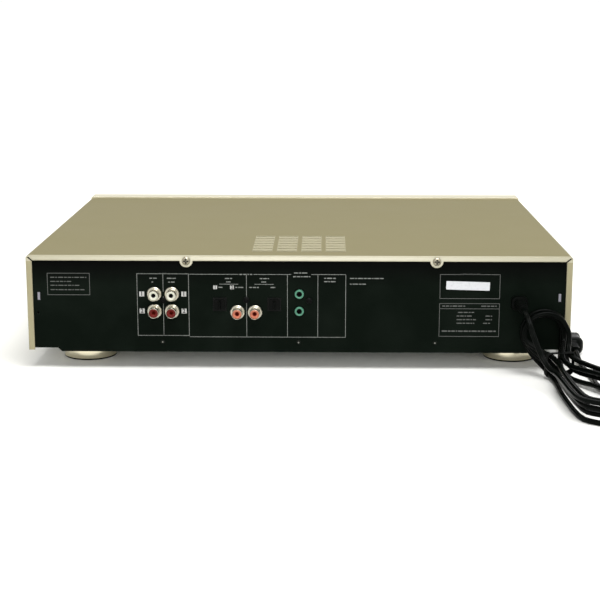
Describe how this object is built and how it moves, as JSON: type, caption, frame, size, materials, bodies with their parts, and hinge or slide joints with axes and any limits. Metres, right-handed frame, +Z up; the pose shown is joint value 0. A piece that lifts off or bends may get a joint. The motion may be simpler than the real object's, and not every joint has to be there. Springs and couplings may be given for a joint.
{
  "type": "minidisc deck",
  "caption": "Champagne hi-fi minidisc deck with a flap over its disc slot, turning and pressing controls, rear sockets and a tied-up mains lead.",
  "frame": {"origin": "on the floor under the middle of the deck, measured without its mains lead", "axes": "+X to the left as seen from behind, +Y towards the sockets at the rear, +Z up; the front faces -Y"},
  "size_m": [0.486, 0.5161, 0.096],
  "materials": {
    "black_plastic": "black moulded plastic",
    "board": "green circuit board with its parts",
    "champagne_plastic": "champagne lacquered plastic",
    "cover": "satin champagne paint with a fine metallic grain",
    "front": "brushed champagne front on a moulded shell",
    "green_plastic": "green moulded plastic",
    "jacket": "glossy black flexible jacket",
    "lamination": "varnished lamination stack with its coil",
    "nickel": "bright nickel",
    "pane": "smoked clear pane",
    "sheet_black": "black paint, slightly textured, with bare cut edges",
    "zinc": "zinc plated sheet"
  },
  "bodies": {
    "housing": {"chassis_pan": "zinc", "coaxial_jack_1": "nickel", "coaxial_jack_2": "nickel", "coaxial_jack_housing": "black_plastic", "coaxial_jack_screw": "nickel", "control_jack_screw": "nickel", "control_jacks": "green_plastic", "cover_screw_front_left": "nickel", "cover_screw_front_right": "nickel", "cover_screw_rear_1": "nickel", "cover_screw_rear_2": "nickel", "cover_screw_rear_left": "nickel", "cover_screw_rear_right": "nickel", "display_window": "pane", "foot_front_left": "champagne_plastic", "foot_front_right": "champagne_plastic", "foot_rear_left": "champagne_plastic", "foot_rear_right": "champagne_plastic", "front_board": "board", "front_panel": "front", "guide_rod": "nickel", "lead_hank": "jacket", "lead_stretch": "jacket", "lead_tail": "jacket", "lead_tie": "black_plastic", "line_jack_housing": "black_plastic", "line_jack_lower_1": "nickel", "line_jack_lower_2": "nickel", "line_jack_screw": "nickel", "line_jack_upper_1": "nickel", "line_jack_upper_2": "nickel", "main_board": "board", "mechanism_frame": "zinc", "optical_in_module": "black_plastic", "optical_out_module": "black_plastic", "phones_socket": "black_plastic", "plug_blade_1": "nickel", "plug_blade_2": "nickel", "plug_body": "jacket", "power_transformer": "lamination", "rear_panel": "sheet_black", "strain_relief": "black_plastic", "top_cover": "cover"},
    "slot_flap": {"slot_flap": "champagne_plastic"},
    "power_button": {"power_button": "champagne_plastic"},
    "eject_button": {"eject_button": "champagne_plastic"},
    "record_button": {"record_button": "champagne_plastic"},
    "stop_button": {"stop_button": "champagne_plastic"},
    "pause_button": {"pause_button": "champagne_plastic"},
    "play_button": {"play_button": "champagne_plastic"},
    "jog_dial": {"jog_dial": "champagne_plastic"},
    "record_level_knob": {"record_level_knob": "champagne_plastic"},
    "phones_level_knob": {"phones_level_knob": "champagne_plastic"},
    "timer_switch": {"timer_switch": "black_plastic"},
    "optical_in_cap": {"optical_in_cap": "black_plastic"},
    "optical_out_cap": {"optical_out_cap": "black_plastic"},
    "cartridge_carrier": {"cartridge_carrier": "zinc"},
    "disc_spindle": {"disc_spindle": "nickel"},
    "pickup_sled": {"pickup_sled": "black_plastic"},
    "lead_screw": {"lead_screw": "nickel"}
  },
  "joints": [
    {"name": "flap_hinge", "type": "hinge", "parent": "housing", "child": "slot_flap", "pos_m": [0, -0.1677, 0.078], "axis": [1, 0, 0], "range_deg": [0, 80], "stiffness_Nm_per_rad": 0.002},
    {"name": "power_press", "type": "slide", "parent": "housing", "child": "power_button", "axis": [0, 1, 0], "range_m": [0, 0.0025], "stiffness_N_per_m": 600},
    {"name": "eject_press", "type": "slide", "parent": "housing", "child": "eject_button", "axis": [0, 1, 0], "range_m": [0, 0.0009], "stiffness_N_per_m": 1200},
    {"name": "record_press", "type": "slide", "parent": "housing", "child": "record_button", "axis": [0, 1, 0], "range_m": [0, 0.0009], "stiffness_N_per_m": 1200},
    {"name": "stop_press", "type": "slide", "parent": "housing", "child": "stop_button", "axis": [0, 1, 0], "range_m": [0, 0.0009], "stiffness_N_per_m": 1200},
    {"name": "pause_press", "type": "slide", "parent": "housing", "child": "pause_button", "axis": [0, 1, 0], "range_m": [0, 0.0009], "stiffness_N_per_m": 1200},
    {"name": "play_press", "type": "slide", "parent": "housing", "child": "play_button", "axis": [0, 1, 0], "range_m": [0, 0.0009], "stiffness_N_per_m": 1200},
    {"name": "jog_turn", "type": "hinge", "parent": "housing", "child": "jog_dial", "pos_m": [0.178, -0.1696, 0.066], "axis": [0, 1, 0], "continuous": true},
    {"name": "record_level_turn", "type": "hinge", "parent": "housing", "child": "record_level_knob", "pos_m": [0.125, -0.1696, 0.066], "axis": [0, 1, 0], "range_deg": [-150, 150]},
    {"name": "phones_level_turn", "type": "hinge", "parent": "housing", "child": "phones_level_knob", "pos_m": [-0.165, -0.1696, 0.031], "axis": [0, 1, 0], "range_deg": [-150, 150]},
    {"name": "timer_slide", "type": "slide", "parent": "housing", "child": "timer_switch", "axis": [1, 0, 0], "range_m": [-0.004, 0.004]},
    {"name": "optical_in_cap_pull", "type": "slide", "parent": "housing", "child": "optical_in_cap", "axis": [0, 1, 0], "range_m": [0, 0.012]},
    {"name": "optical_out_cap_pull", "type": "slide", "parent": "housing", "child": "optical_out_cap", "axis": [0, 1, 0], "range_m": [0, 0.012]},
    {"name": "carrier_lower", "type": "slide", "parent": "housing", "child": "cartridge_carrier", "axis": [0, 0, 1], "range_m": [-0.005, 0]},
    {"name": "spindle_spin", "type": "hinge", "parent": "housing", "child": "disc_spindle", "pos_m": [0, -0.1221, 0.06], "axis": [0, 0, 1], "continuous": true},
    {"name": "sled_travel", "type": "slide", "parent": "housing", "child": "pickup_sled", "axis": [1, 0, 0], "range_m": [0, 0.0145]},
    {"name": "lead_screw_turn", "type": "hinge", "parent": "housing", "child": "lead_screw", "pos_m": [0, -0.1356, 0.0629], "axis": [1, 0, 0], "continuous": true}
  ],
  "couplings": [
    {"joint": "lead_screw_turn", "follows": "sled_travel", "rad_per_m": 2094.4}
  ]
}
